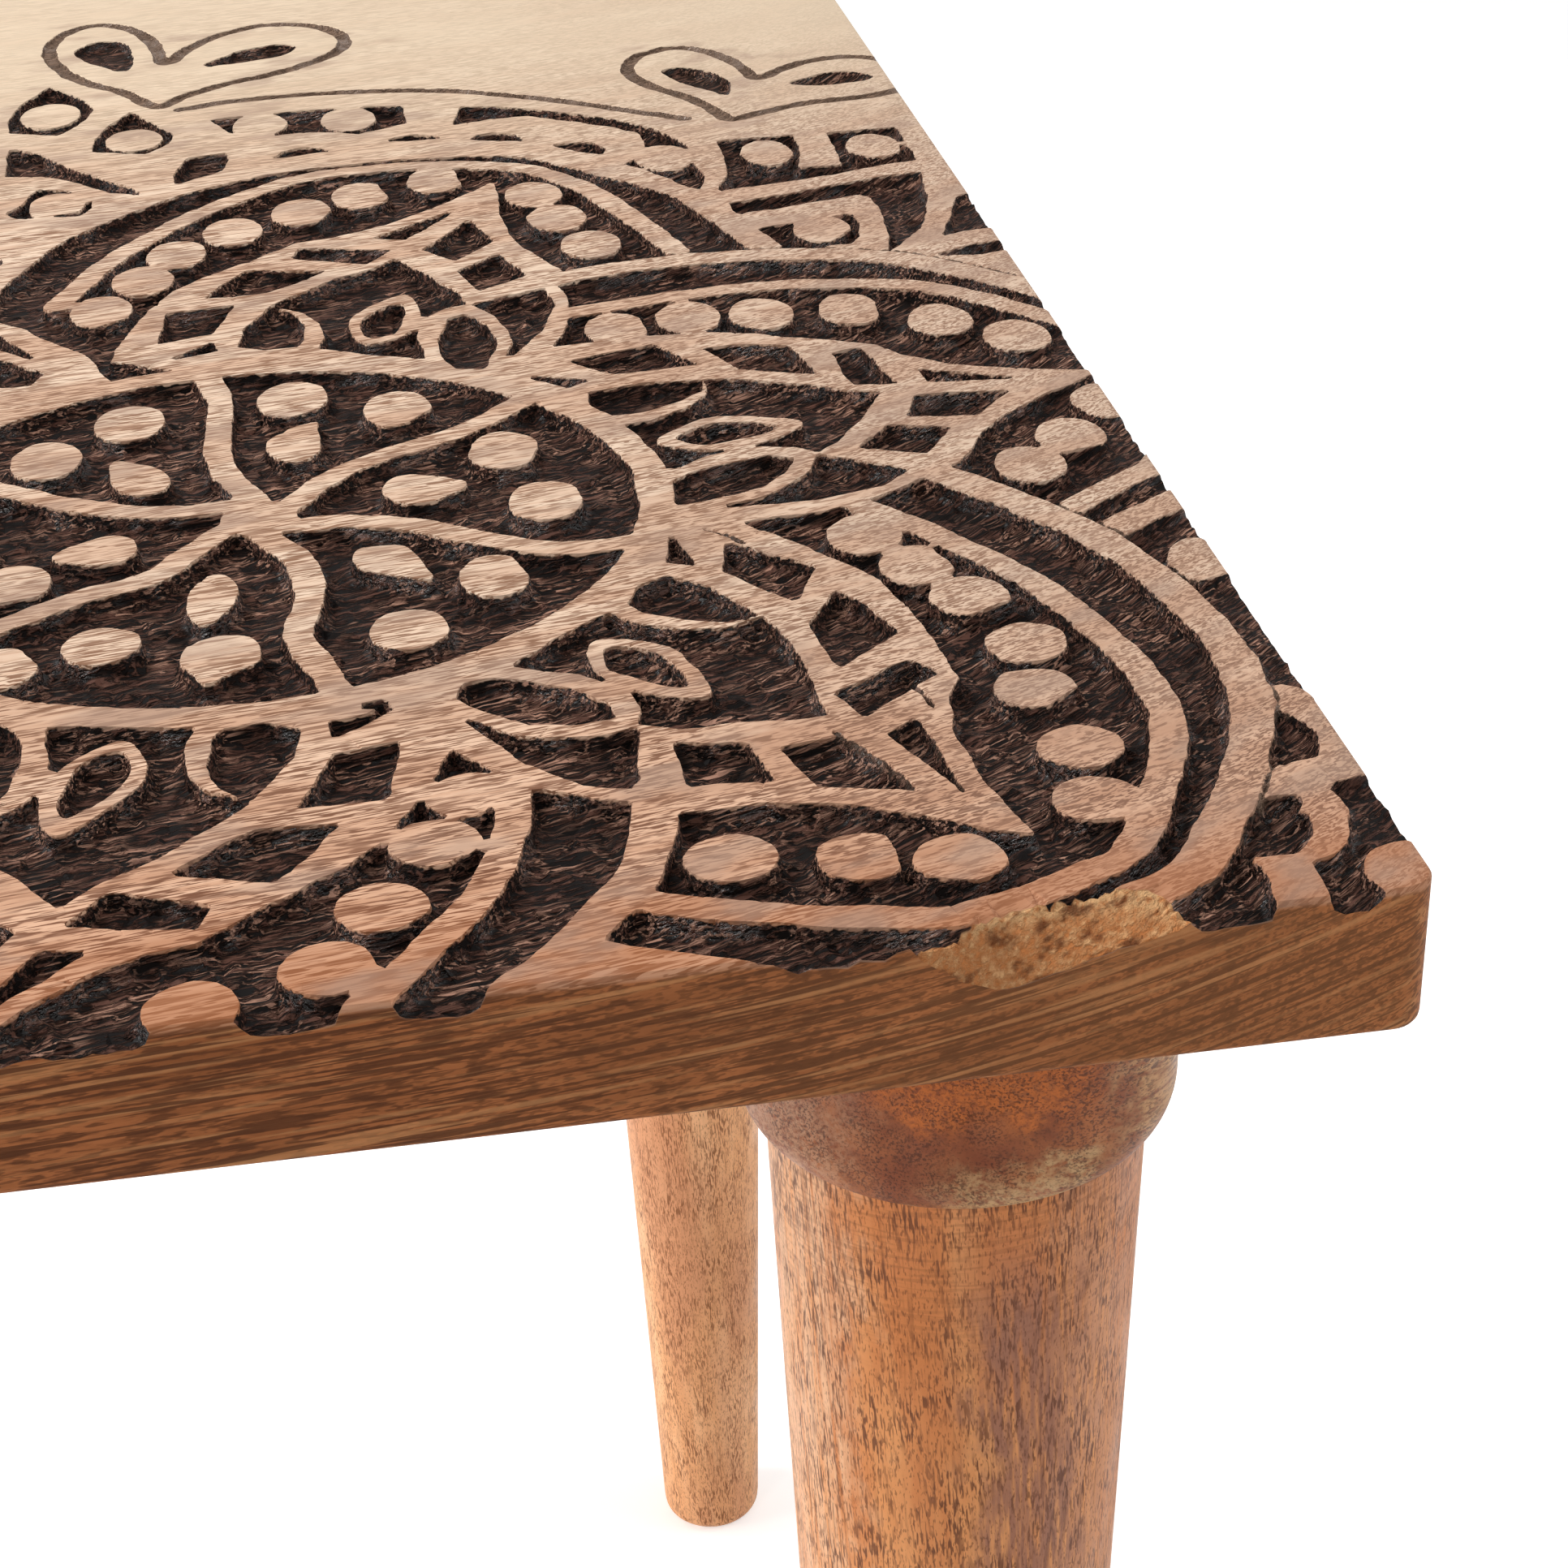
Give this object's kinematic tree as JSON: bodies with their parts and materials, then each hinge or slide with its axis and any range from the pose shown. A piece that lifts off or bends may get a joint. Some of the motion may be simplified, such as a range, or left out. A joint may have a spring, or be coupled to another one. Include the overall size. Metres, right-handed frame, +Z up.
{
  "type": "side table",
  "caption": "Square side table with a deeply carved mandala top on turned, tapered legs that screw into round collars.",
  "frame": {"origin": "on the floor, below the middle of the table top", "axes": "+Z up, +X to the table's right, -Y towards its front, where the carving's middle lies nearest the front right corner"},
  "size_m": [0.508, 0.508, 0.508],
  "materials": {
    "carved_wood": "carved solid hardwood, ground stained near black, raised faces sanded and lightly oiled",
    "leg_wood": "turned solid hardwood, satin oil",
    "collar_wood": "turned solid hardwood with end grain, satin oil",
    "zinc_steel": "bright zinc plate",
    "brass_plate": "brass-plated insert"
  },
  "bodies": {
    "root": {"carved_top": "carved_wood", "leg_front_right": "leg_wood", "leg_front_left": "leg_wood", "leg_back_right": "leg_wood", "leg_back_left": "leg_wood", "collar_front_right": "collar_wood", "collar_front_left": "collar_wood", "collar_back_right": "collar_wood", "collar_back_left": "collar_wood", "hanger_bolt_front_right": "zinc_steel", "hanger_bolt_front_left": "zinc_steel", "hanger_bolt_back_right": "zinc_steel", "hanger_bolt_back_left": "zinc_steel", "insert_nut_front_right": "brass_plate", "insert_nut_front_left": "brass_plate", "insert_nut_back_right": "brass_plate", "insert_nut_back_left": "brass_plate", "collar_screws_front_right": "zinc_steel", "collar_screws_front_left": "zinc_steel", "collar_screws_back_right": "zinc_steel", "collar_screws_back_left": "zinc_steel"}
  },
  "joints": []
}
